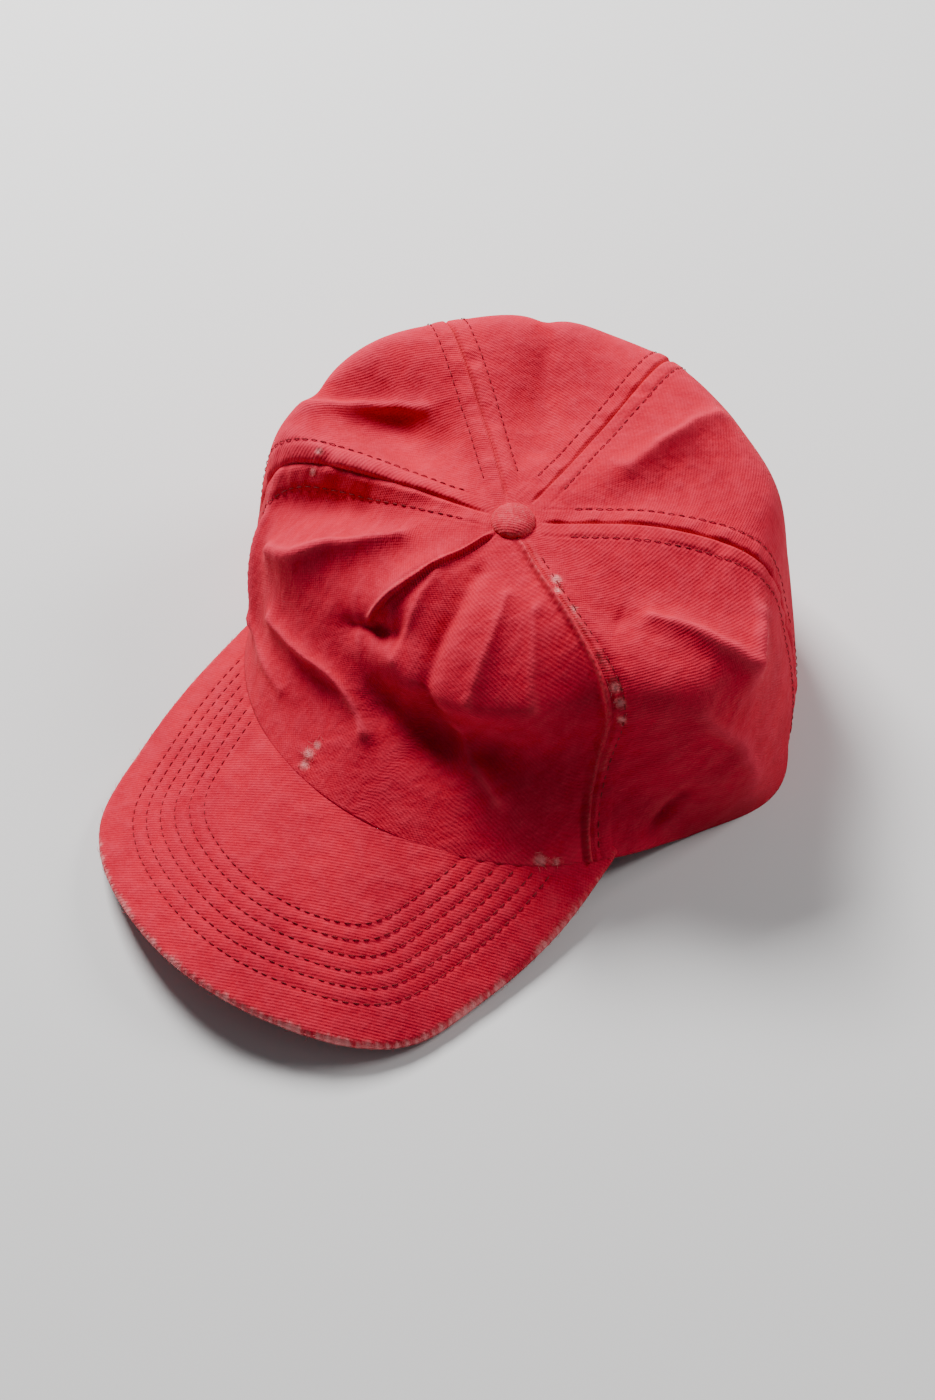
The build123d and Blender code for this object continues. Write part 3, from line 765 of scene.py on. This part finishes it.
def stitches(name, rows, body="crown"):
    """One mesh of single stitches. Each row is its places on the cloth and the cloth's outward directions."""
    sides, rings = 6, 5
    turn = np.linspace(0, 2 * np.pi, sides, endpoint=False)
    points, faces, flat = [], [], []
    for row, out in rows:
        run = length_along(row)
        starts = np.arange(0.4, run[-1] - STITCH_LONG, STITCH_LONG + STITCH_GAP)
        for start in starts:
            t = np.linspace(0, 1, rings)
            at = start + t * (STITCH_LONG + RNG.uniform(-0.15, 0.15))
            centre = np.stack([np.interp(at, run, row[:, k]) for k in range(3)], -1)
            up = unit(np.stack([np.interp(at, run, out[:, k]) for k in range(3)], -1))
            along = unit(np.gradient(centre, axis=0))
            side = unit(np.cross(along, up))
            sunk = -0.42 + 0.55 * np.sin(np.pi * t) ** 0.6
            centre = centre + up * sunk[:, None] + side * RNG.uniform(-0.08, 0.08)
            thick = THREAD_RADIUS * (0.72 + 0.28 * np.sin(np.pi * t))
            ring = centre[:, None] + thick[:, None, None] * (
                side[:, None] * np.cos(turn)[:, None] + up[:, None] * np.sin(turn)[:, None] * 0.85
            )
            base = len(points) * rings * sides
            points.append(ring.reshape(-1, 3))
            wrapped = np.broadcast_arrays(turn[None] * THREAD_RADIUS, at[:, None])
            flat.append(np.stack(wrapped, -1).reshape(-1, 2))
            for r in range(rings - 1):
                for k in range(sides):
                    n = (k + 1) % sides
                    lower = base + r * sides
                    upper = lower + sides
                    faces.append((lower + k, lower + n, upper + n, upper + k))
            faces.append(tuple(base + k for k in reversed(range(sides))))
            faces.append(tuple(base + (rings - 1) * sides + k for k in range(sides)))
    made = add_mesh(name, np.concatenate(points), faces, np.concatenate(flat))
    return dress(made, THREAD, body)


def crown_row(seam, across, start=0.12, end=0.985):
    """Places and outward directions of a stitch row beside a seam."""
    if seam == "back":
        end = float(back_place(np.array([0.0]), np.array([ARCH_TOP + 0.8]))[1][0])
    share = np.linspace(start, end, 260)
    azimuth = seam_azimuth(seam, share)
    at = crown_at(azimuth, share)
    reach = np.hypot(at[:, 0], at[:, 1])
    azimuth = azimuth + np.degrees(across / reach)
    out = crown_outward(azimuth, share)
    return crown_at(azimuth, share) + out * 0.32, out


def crown_stitching():
    pressed_open = ("back", "side_right", "front_right", "side_left")
    rows = [crown_row(seam, side) for seam in pressed_open for side in (-STITCH_OFF, STITCH_OFF)]
    rows.append(crown_row("front_left", 2.9))
    stitches("crown_seam_stitching", rows)


# --- Brim ------------------------------------------------------------------------------------------------
BRIM_POINTS = ((79.3, 44.0), (80.2, 78.0), (75.5, 110.0), (66.6, 137.6), (46.5, 154.5))
BRIM_TIP = 166.0
BRIM_THICK = 3.6
BRIM_TUCK = 3.0
BRIM_ROWS, FIRST_ROW, ROW_STEP = 6, 12.0, 4.6
EDGE_ROUND = BRIM_THICK / 2


def brim_edge(samples):
    """Plan of the brim's edge from the right heel round the tip to the left heel, and its outward direction."""
    right = [(-x, -y) for x, y in BRIM_POINTS]
    ring = np.array(right + [(0, -BRIM_TIP)] + [(-x, y) for x, y in reversed(right)])
    chord = length_along(ring)
    fine = blend_through(chord, ring, np.linspace(0, chord[-1], 2000))
    run = length_along(fine)
    edge = at_lengths(np.linspace(0, run[-1], samples), run, fine)
    along = unit(np.gradient(edge, axis=0))
    outward = np.stack([along[:, 1], -along[:, 0]], -1)
    if (outward[samples // 2] @ (0, -1)) < 0:
        outward = -outward
    return edge, outward


def brim_cover(upper):
    """Upper or lower cloth of the brim, rolled round its edge to meet the other."""
    columns = 330
    edge, outward = brim_edge(columns)
    heel = np.degrees(np.arcsin(np.clip(BRIM_POINTS[0][0] / HALF_WIDE, -1, 1)))
    azimuth = np.linspace(-heel, heel, columns)
    root = np.stack(place(azimuth, HALF_WIDE - BRIM_TUCK), -1)
    flat_edge = edge - outward * EDGE_ROUND
    v = np.concatenate([np.linspace(0, 0.9, 70), np.linspace(0.9, 1, 18)[1:]])[:, None, None]
    plan = root + (flat_edge - root) * v
    roll = np.radians(np.linspace(0, 88, 8))[1:, None]
    rolled = flat_edge + outward * (EDGE_ROUND * np.sin(roll))[..., None]
    plan = np.concatenate([plan, rolled])
    drop = np.concatenate([np.zeros(len(v)), EDGE_ROUND * (1 - np.cos(roll[:, 0]))])[:, None]
    from_edge = np.linalg.norm(plan[:, :, None] - edge[None, None, ::3], axis=-1).min(2)
    x, y = plan[..., 0], plan[..., 1]
    length = np.arange(columns) * np.linalg.norm(edge[1] - edge[0])
    rows = sum(near(from_edge - FIRST_ROW - ROW_STEP * i, 0.75) for i in range(BRIM_ROWS))
    ripple = soft_noise(x + 200, 26, 3) * soft_noise(y + 300, 31, 4)
    chew = soft_noise(length, 2.6, 8)[None] * near(from_edge, 1.6)
    if upper:
        z = brim_height(x, y) - drop - 0.38 * rows + 0.5 * ripple + 0.25 * chew
    else:
        z = brim_height(x, y) - BRIM_THICK * 1.08 + drop + 0.25 * rows + 0.5 * ripple + 0.2 * chew
    grid = np.stack([x, y, z], -1)
    out = grid_normals(grid, closed=False)
    if (out[20, columns // 2, 2] < 0) == upper:
        out = -out
    bent = BRIM_BEND * np.arcsin(np.clip(x / BRIM_BEND, -1, 1))
    flat = np.stack([bent, y], -1)
    # The edge is rubbed through to the white core of the yarn, most of all along its right front.
    rub = np.interp(length, [0, 90, 150, 260, 330, 420], [0.5, 0.35, 0.9, 1.0, 0.45, 0.5])
    rubbed = smooth((rub + 0.35 * soft_noise(length, 5, 9)) / 1.1)
    wear = rubbed[None] * near(from_edge, 0.9 + 0.5 * (soft_noise(length, 3.1, 12)[None] + 1)) * 0.9
    crest = np.zeros(wear.shape) + 0.1 * ripple
    name = "brim_top" if upper else "brim_under"
    if not upper:
        grid, flat, wear, crest, out = (field[:, ::-1] for field in (grid, flat, wear, crest, out))
    made = cloth_sheet(name, grid, 0.75, flat, {"wear": wear, "crest": crest}, outward=out)
    return dress(made, TWILL if upper else UNDERSIDE, "crown", [name + "_cover"])


def brim_stitching():
    """Rows parallel to the brim's edge. Each stops at the crown."""
    edge, outward = brim_edge(900)
    rows = []
    for i in range(BRIM_ROWS):
        inset = FIRST_ROW + ROW_STEP * i
        line = edge - outward * inset
        line = line[np.linalg.norm(line[:, None] - edge[None, ::4], axis=-1).min(1) > inset - 0.25]
        line = rounded_line(line, 5.0 + 1.2 * i)
        outside = np.hypot(line[:, 0] / HALF_WIDE, line[:, 1] / HALF_LONG) > 1.012
        kept = line[outside & (line[:, 1] < -20)]
        z = brim_height(kept[:, 0], kept[:, 1]) - 0.1
        row = np.column_stack([kept, z])
        lean = kept[:, 0] / BRIM_BEND
        up = unit(np.stack([lean, np.full(len(kept), -BRIM_SLOPE), np.ones(len(kept))], -1))
        rows.append((row, up))
    made = stitches("brim_row_stitching", rows)
    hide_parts("brim_topstitching")


# --- Inside of the crown ---------------------------------------------------------------------------------
BAND_HIGH, BAND_THICK = 31.0, 1.3
TAPE_HALF, TAPE_THICK = 8.0, 0.5


def crown_run(azimuth):
    """Length of the cloth from the button at each share of the way, for a set of azimuths."""
    share = np.linspace(0, 1, 160)
    azimuths = np.repeat(np.atleast_1d(azimuth)[:, None], len(share), 1)
    at = crown_at(azimuths, np.repeat(share[None], np.size(azimuth), 0))
    steps = np.linalg.norm(np.diff(at, axis=1), axis=2)
    return share, np.concatenate([np.zeros((at.shape[0], 1)), np.cumsum(steps, axis=1)], axis=1)


def share_above_rim(azimuth, rise):
    """Share of the way down at which the cloth is this far above the rim, measured along the cloth."""
    share, run = crown_run(azimuth)
    return np.array([np.interp(r[-1] - rise, r, share) for r in run])


def back_place(x, z):
    """Azimuth and share of the place on the crown's back wall that has this x and z."""
    x, z = np.broadcast_arrays(np.asarray(x, float), np.asarray(z, float))
    azimuth = 180 - np.degrees(np.arcsin(x / 92))
    share = np.full(x.shape, 0.8)
    steps = np.linspace(0.45, 1, 120)
    for _ in range(4):
        for index in np.ndindex(x.shape):
            column = read_grid(CROWN, np.full(120, azimuth[index]), steps)
            share[index] = np.interp(-z[index], -column[:, 2], steps)
        at = read_grid(CROWN, azimuth, share)
        reach = np.hypot(at[..., 0], at[..., 1] / LENGTH_STRETCH)
        azimuth = 180 - np.degrees(np.arcsin(np.clip(x / reach, -1, 1)))
    return azimuth, share


def arch_outline(grow, samples):
    """x and z round the arch from its wearer's-right foot over the top to its left foot."""
    half, high = ARCH_HALF + grow, ARCH_TOP + grow - ARCH_STRAIGHT
    turn = np.linspace(-np.pi / 2, np.pi / 2, samples)
    x, z = half * np.sin(turn), ARCH_STRAIGHT + high * np.cos(turn)
    leg = np.linspace(0.3, ARCH_STRAIGHT, 6)[:-1]
    return np.concatenate([np.full(5, -half), x, np.full(5, half)]), np.concatenate([leg, z, leg[::-1]])


def sheet_piece(name, grid, thick, flat, material, body, replaced, outward, marks=None):
    made = cloth_sheet(name, grid, thick, flat, marks, outward=outward)
    return dress(made, material, body, replaced)


def crown_layer(azimuth, share, depth):
    """A layer inside the crown, as its outer face and its outward directions."""
    out = crown_outward(azimuth, share)
    return crown_at(azimuth, share) - out * np.asarray(depth, float)[..., None], out


def flat_of(grid):
    """Place of each point on the flat cloth, from lengths along and across the grid."""
    down, side = np.zeros(grid.shape[:2]), np.zeros(grid.shape[:2])
    down[1:] = np.cumsum(np.linalg.norm(np.diff(grid, axis=0), axis=2), axis=0)
    side[:, 1:] = np.cumsum(np.linalg.norm(np.diff(grid, axis=1), axis=2), axis=1)
    return np.stack([side, down], -1)


def unworn(grid):
    return {"wear": np.zeros(grid.shape[:2]), "crest": np.zeros(grid.shape[:2])}


def stack_layers(layers):
    """Rows of places and of outward directions, joined into two grids."""
    return (np.array(rows) for rows in zip(*layers))


def seam_tape(seam, node):
    """Bias tape over the seam's raw edges, stitched down both sides."""
    end = 0.985
    if seam == "back":
        end = float(back_place(np.array([0.0]), np.array([ARCH_TOP + 6.0]))[1][0])
    share = np.linspace(0.09, end, 120)
    across = np.linspace(-TAPE_HALF, TAPE_HALF, 13)
    azimuth = seam_azimuth(seam, share)
    at = crown_at(azimuth, share)
    reach = np.hypot(at[:, 0], at[:, 1])
    spread_at = azimuth[:, None] + np.degrees(across[None] / np.maximum(reach, 9)[:, None])
    shares = np.repeat(share[:, None], 13, 1)
    length = share[:, None] * 150
    pillow = 0.5 + 0.35 * np.cos(across / TAPE_HALF * np.pi / 2) + 0.2 * soft_noise(length, 4, 61)
    grid, out = crown_layer(spread_at, shares, CLOTH + 0.5 - pillow * 0.2)
    sheet_piece(
        "tape_" + seam, grid, TAPE_THICK, flat_of(grid), TAPE, "crown",
        [node], out, unworn(grid),
    )


def sweatband():
    """Twill band that turns up inside the rim. It stops at both sides of the back arch."""
    stop = math.degrees(math.asin((ARCH_HALF + 1.5) / 91))
    azimuth = np.linspace(-180 + stop, 180 - stop, 420)
    top = share_above_rim(azimuth, BAND_HIGH)
    v = np.linspace(0, 1, 26)[:, None]
    share = top[None] + (1 - top[None]) * v
    back = smooth((np.abs(azimuth) - 95) / 30)[None]
    depth = 2.6 + 3.2 * back + 0.5 * np.sin(v * np.pi) + 0.35 * soft_noise(azimuth[None] * 1.5, 9, 21)
    grid, out = crown_layer(np.repeat(azimuth[None], 26, 0), share, depth)
    lips = 0.5 * near(v - 0.12, 0.03) + 0.5 * near(v - 0.93, 0.03)
    grid = grid + out * (lips * np.ones(grid.shape[:2]))[..., None] * 0.5
    marks = unworn(grid)
    marks["wear"] += 0.15 * near(v, 0.06)
    sheet_piece(
        "inner_sweatband", grid, BAND_THICK * 0.8, flat_of(grid),
        UNDERSIDE, "crown", ["sweatband"], out, marks,
    )
    low = azimuth[4:-4]
    row_share = share_above_rim(low, 27.5)
    inner, facing = crown_layer(low, row_share, np.interp(low, azimuth, depth[2]) + BAND_THICK * 0.8)
    stitches("sweatband_stitching", [(inner, -facing)])


def rim_tape():
    """Turned seam allowance at the rim, between the crown's cloth and the sweatband."""
    stop = math.degrees(math.asin((ARCH_HALF + 7) / 91))
    azimuth = np.linspace(-180 + stop, 180 - stop, 360)
    rise = share_above_rim(azimuth, 4.0)
    layers = []
    for v in np.linspace(0, 1, 9):
        depth = np.full(azimuth.shape, CLOTH + 0.15 + 0.25 * np.sin(v * np.pi))
        layers.append(crown_layer(azimuth, rise + (1 - rise) * v, depth))
    grid, out = stack_layers(layers)
    sheet_piece(
        "rim_seam_tape", grid, 1.2, flat_of(grid), TAPE, "crown",
        ["rim_tape"], out, unworn(grid),
    )


def arch_layer(grow, samples, depth):
    """A row of places round the arch, this far outside its edge and this deep in the crown."""
    x, z = arch_outline(grow, samples)
    azimuth, share = back_place(x, z)
    return crown_layer(azimuth, share, np.full(x.shape, depth))


def arch_binding():
    """Tape turned round the edge of the back arch."""
    grid, out = stack_layers(arch_layer(grow, 70, CLOTH + 0.1) for grow in (7.6, 5.5, 3.2, 1.2, 0.25))
    sheet_piece(
        "arch_edge_binding", grid, TAPE_THICK, flat_of(grid), TAPE, "crown",
        ["arch_binding"], out, unworn(grid),
    )
    stitches("arch_stitching", [arch_layer(grow, 90, -0.1) for grow in (1.6, 6.2)])


def care_label():
    """Blank satin label, folded and caught in the sweatband's seam on the wearer's right."""
    azimuth = np.linspace(-103.5, -84.5, 22)
    layers = []
    for rise in np.linspace(24, 4, 14):
        share = share_above_rim(azimuth, rise)
        curl = 0.6 * np.sin((24 - rise) / 20 * 2.4) + 0.4 * soft_noise(azimuth * 2 + rise, 12, 5)
        layers.append(crown_layer(azimuth, share, 2.6 + 0.5 + BAND_THICK * 0.8 + 0.8 + curl))
    grid, out = stack_layers(layers)
    sheet_piece(
        "blank_care_label", grid, 0.35, flat_of(grid), LABEL, "crown",
        ["care_label"], out,
    )


def top_button():
    """Metal button covered in the cap's own twill, gathered under its edge."""
    rings, turns = 20, 72
    turn = np.linspace(0, 2 * np.pi, turns, endpoint=False)
    radius, high = 7.25, 3.9
    points, faces = [(0, 0, BUTTON_SEAT + high)], []
    for i in range(1, rings + 1):
        t = i / rings
        lean = t * np.pi * 0.60
        r = radius * np.sin(min(lean, np.pi / 2)) ** 0.92 - max(0.0, lean - np.pi / 2) * 3.2
        z = BUTTON_SEAT + high * np.cos(lean) * (0.92 if lean < np.pi / 2 else 3.0) + high * 0.08
        pleat = 0.22 * smooth((t - 0.55) / 0.4) * np.sin(turn * 13 + 0.7 * np.sin(turn * 3))
        worn = 0.16 * np.sin(turn * 2 + 0.6) * np.sin(t * np.pi)
        for a, p, w in zip(turn, pleat, worn):
            points.append(((r + p) * math.sin(a), -(r + p) * math.cos(a), max(z, BUTTON_SEAT - 0.6) + w))
    for k in range(turns):
        faces.append((0, 1 + k, 1 + (k + 1) % turns))
        for i in range(rings - 1):
            a = 1 + i * turns
            b = a + turns
            faces.append((a + k, b + k, b + (k + 1) % turns, a + (k + 1) % turns))
    faces.append(tuple(1 + (rings - 1) * turns + k for k in reversed(range(turns))))
    points = np.array(points)
    flat = points[:, :2] * 1.15
    wear = 0.22 * smooth((points[:, 2] - BUTTON_SEAT - 1.2) / 2.4)
    # Painted highlight: the paler ring round the rim of the button, carried in the wear mark.
    wear += 0.25 * near(np.hypot(points[:, 0], points[:, 1]) - 6.9, 0.8)
    made = add_mesh("top_button_cloth", points, faces, flat, {"wear": wear, "crest": 0 * wear})
    dress(made, TWILL, "crown", ["button_cover"])


def arc_path(radius, start, end, samples):
    """Plan places on an arc round the strap's centre. Angles run from the back towards +X."""
    angle = np.radians(np.linspace(start, end, samples))
    return np.stack([radius * np.sin(angle), STRAP_CENTRE + radius * np.cos(angle)], -1)


def upright_tape(name, path, outward, low, high, thick, material, body, replaced):
    """Woven tape standing on its edge along a path in plan, with rounded selvedges and two sunk rows."""
    wide = high - low
    middle = np.linspace(1.2, wide - 1.2, 14)
    heights = np.concatenate([[0, 0.15, 0.5], middle, [wide - 0.5, wide - 0.15, wide]])
    edge = np.minimum(heights, wide - heights)
    bulge = -0.3 * thick * (1 - smooth(edge / 0.8)) - 0.22 * near(edge - 2.6, 0.5)
    grid = np.zeros((len(heights), len(path), 3))
    grid[..., :2] = path[None] + outward[None] * bulge[:, None, None]
    grid[..., 2] = low + heights[:, None]
    out = np.zeros(grid.shape)
    out[..., :2] = outward
    grid, out = grid[::-1], out[::-1]
    marks = unworn(grid)
    marks["wear"] += 0.25 * (1 - smooth(edge[::-1] / 1.2))[:, None]
    sheet_piece(name, grid, thick, flat_of(grid), material, body, replaced, out, marks)


STRAP_CENTRE, STRAP_INNER, STRAP_THICK = 6.0, 83.75, 1.4
STRAP_LOW, STRAP_HIGH = 5.0, 25.0
TAB_INNER, TAB_THICK, TAB_END = 85.55, 1.1, 40.0
BUCKLE_AT, BAR_AT, LOOP_RADIUS = 14.0, (8.0, 2.2), 1.62


def closure():
    """The strap, and the tab that is looped round the buckle's bar."""
    path = arc_path(STRAP_INNER + STRAP_THICK, -46, 40, 120)
    outward = unit(path - (0, STRAP_CENTRE))
    upright_tape(
        "strap_webbing", path, outward, STRAP_LOW, STRAP_HIGH, STRAP_THICK, UNDERSIDE, "strap",
        ["adjusting_strap"],
    )
    middle = STRAP_INNER + STRAP_THICK / 2
    turn = np.radians(BUCKLE_AT)
    aside, reach = BAR_AT[0], middle + BAR_AT[1]
    bar = np.array([
        aside * np.cos(turn) + reach * np.sin(turn),
        STRAP_CENTRE - aside * np.sin(turn) + reach * np.cos(turn),
    ])
    start = BUCKLE_AT + math.degrees(BAR_AT[0] / middle) + 1.9
    straight = arc_path(TAB_INNER + TAB_THICK, TAB_END, start, 60)
    radial = unit(bar - (0, STRAP_CENTRE))
    along = np.array([radial[1], -radial[0]])
    angle = np.radians(np.linspace(100, 395, 26))
    loop = bar + LOOP_RADIUS * (along[None] * np.cos(angle)[:, None] + radial[None] * np.sin(angle)[:, None])
    path = np.concatenate([straight, loop])
    outward = np.concatenate([unit(straight - (0, STRAP_CENTRE)), unit(loop - bar)])
    upright_tape(
        "buckle_tab_webbing", path, outward, STRAP_LOW + 0.1, STRAP_HIGH - 0.1, 0.75, UNDERSIDE,
        "crown", ["buckle_tab"],
    )


def metal_and_plastic():
    for node, material in (
        ("buckle_frame", BRASS), ("buckle_lever", BRASS), ("buckle_pin", BRASS), ("button_shell", ALUMINIUM),
        ("button_rivet", ALUMINIUM), ("button_washer", ALUMINIUM), ("brim_board", BOARD),
    ):
        solid = bpy.data.objects[node]
        for slot in solid.material_slots:
            slot.material = material
        if not solid.material_slots:
            solid.data.materials.append(material)


def loose_fibres():
    """Broken yarn ends that stand out of the frayed places and off the rubbed edge of the brim."""
    starts = []
    for seam, share, across, size in FRAYS:
        azimuth = seam_azimuth(seam, share)
        at = crown_at(azimuth, share)
        azimuth = azimuth + math.degrees(across / math.hypot(at[0], at[1]))
        out = crown_outward(azimuth, share)
        for _ in range(int(size * 2.4)):
            spot = crown_at(azimuth, share) + RNG.normal(0, size * 0.28, 3)
            spot = spot - out * ((spot - crown_at(azimuth, share)) @ out) + out * 0.1
            starts.append((spot, out, RNG.uniform(0.7, 2.0)))
    edge, outward = brim_edge(500)
    for i in range(8, 492):
        if RNG.random() < 0.42:
            spot = edge[i] - outward[i] * RNG.uniform(0, 0.5)
            z = brim_height(spot[0], spot[1]) - RNG.uniform(0.6, 2.4)
            lean = np.array([*outward[i], RNG.uniform(-0.3, 0.5)])
            starts.append((np.array([*spot, z]), lean, RNG.uniform(0.6, 2.2)))
    turn = np.linspace(0, 2 * np.pi, 4, endpoint=False)
    points, faces = [], []
    for spot, out, length in starts:
        side = unit(np.cross(out, RNG.normal(0, 1, 3)))
        bend = RNG.uniform(0.5, 1.6)
        t = np.linspace(0, 1, 6)[:, None]
        lift = np.sin(t * bend * 1.6) * 0.45
        drift = np.cross(side, out) * 0.35 * t**2 * bend
        centre = spot + length * (side * t + unit(out) * lift * 0.6 + drift)
        across = np.cross(side, unit(out))
        thick = 0.075 * (1 - 0.5 * t)
        circle = across * np.cos(turn)[:, None] + unit(out) * np.sin(turn)[:, None]
        ring = centre[:, None] + thick[:, None] * circle
        base = len(points) * 24
        points.append(ring.reshape(-1, 3))
        for r in range(5):
            for k in range(4):
                n = (k + 1) % 4
                faces.append((base + r * 4 + k, base + r * 4 + n, base + r * 4 + 4 + n, base + r * 4 + 4 + k))
        faces.append(tuple(base + k for k in (3, 2, 1, 0)))
        faces.append(tuple(base + 20 + k for k in range(4)))
    points = np.concatenate(points)
    made = add_mesh("loose_yarn_ends", points, faces, points[:, :2])
    dress(made, FIBRE, "crown")


for panel_name, panel_seams in PANELS.items():
    panel(panel_name, panel_seams)
crown_stitching()
brim_cover(True)
brim_cover(False)
brim_stitching()
for tape_seam in SEAM_LINES:
    if tape_seam != "dart":
        seam_tape(tape_seam, "seam_tape_" + tape_seam)
sweatband()
rim_tape()
arch_binding()
care_label()
top_button()
closure()
metal_and_plastic()
loose_fibres()

# --- Camera, light and floor -----------------------------------------------------------------------------
AIM = Vector((6.34, -31.64 + CROWN_Y, 20.0)) * MM
CAMERA_AZIMUTH, CAMERA_ELEVATION, CAMERA_AWAY = math.radians(38.55), math.radians(55.1), 0.6623


def from_round(azimuth, elevation):
    flat = math.cos(elevation)
    return Vector((math.sin(azimuth) * flat, -math.cos(azimuth) * flat, math.sin(elevation)))


def camera():
    data = bpy.data.cameras.new("camera")
    data.lens, data.sensor_width = 50, 36
    seat = bpy.data.objects.new("camera", data)
    back = from_round(CAMERA_AZIMUTH, CAMERA_ELEVATION)
    seat.location = AIM + back * CAMERA_AWAY
    seat.rotation_mode = "QUATERNION"
    seat.rotation_quaternion = (-back).to_track_quat("-Z", "Y")
    bpy.context.scene.collection.objects.link(seat)
    bpy.context.scene.camera = seat


def area_light(name, azimuth, elevation, away, size, power, colour):
    data = bpy.data.lights.new(name, "AREA")
    data.size, data.energy, data.color = size, power, colour
    lamp = bpy.data.objects.new(name, data)
    back = from_round(math.radians(azimuth), math.radians(elevation))
    lamp.location = AIM + back * away
    lamp.rotation_mode = "QUATERNION"
    lamp.rotation_quaternion = (-back).to_track_quat("-Z", "Y")
    bpy.context.scene.collection.objects.link(lamp)


def studio():
    area_light("window_light", -114, 45, 1.3, 0.45, 33, (1.0, 0.985, 0.975))
    area_light("back_light", 150, 38, 1.4, 0.5, 9, (1.0, 0.98, 0.97))
    world = bpy.data.worlds.new("studio")
    world.use_nodes = True
    world.node_tree.nodes["Background"].inputs["Color"].default_value = (0.8, 0.83, 0.87, 1)
    world.node_tree.nodes["Background"].inputs["Strength"].default_value = 0.13
    bpy.context.scene.world = world
    mesh = bpy.data.meshes.new("floor")
    half = 6.0
    corners = [(-half, -half, 0), (half, -half, 0), (half, half, 0), (-half, half, 0)]
    mesh.from_pydata(corners, [], [(0, 1, 2, 3)])
    floor = bpy.data.objects.new("floor", mesh)
    bpy.context.scene.collection.objects.link(floor)


camera()
studio()
